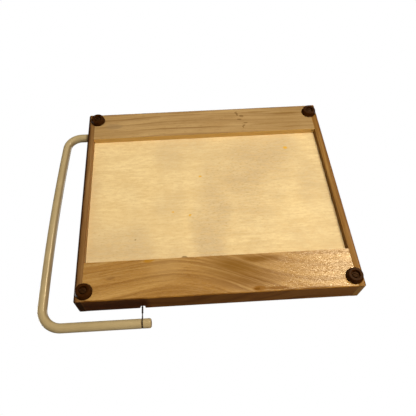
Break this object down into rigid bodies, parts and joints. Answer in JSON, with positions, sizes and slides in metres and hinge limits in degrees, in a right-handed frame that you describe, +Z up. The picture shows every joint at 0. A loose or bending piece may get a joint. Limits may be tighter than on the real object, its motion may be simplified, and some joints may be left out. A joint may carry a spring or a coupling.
{
  "type": "wire cheese board",
  "caption": "Wooden cheese board on rubber feet, with a hinged C-shaped rod whose taut wire swings down into a slot across the cutting surface.",
  "frame": {"origin": "on the table, under the centre of the box round the whole object with the bow lowered", "axes": "+X to the user's right, where the bow stands out; +Y to the back, where the bow is hinged; +Z up"},
  "size_m": [0.2682, 0.2214, 0.0262],
  "materials": {
    "rail_wood": "oiled, satin",
    "strip_wood": "stained, satin",
    "panel_plywood": "bare plywood, matt",
    "surface_laminate": "plain laminate, satin",
    "rod_paint": "gloss enamel",
    "wire_steel": "darkened wire",
    "foot_rubber": "moulded, satin",
    "screw_steel": "dulled steel"
  },
  "bodies": {
    "board": {"front_rail": "rail_wood", "back_rail": "rail_wood", "left_side_strip": "strip_wood", "right_side_strip": "strip_wood", "base_panel": "panel_plywood", "surface_left": "surface_laminate", "surface_right": "surface_laminate", "foot_front_left": "foot_rubber", "foot_front_right": "foot_rubber", "foot_back_left": "foot_rubber", "foot_back_right": "foot_rubber", "foot_screws": "screw_steel"},
    "bow": {"bow_rod": "rod_paint", "cutting_wire": "wire_steel"}
  },
  "joints": [
    {"name": "bow_hinge", "type": "hinge", "parent": "board", "child": "bow", "pos_m": [0.1009, 0.0897, 0.0152], "axis": [-1, 0, 0], "range_deg": [0, 105]}
  ]
}
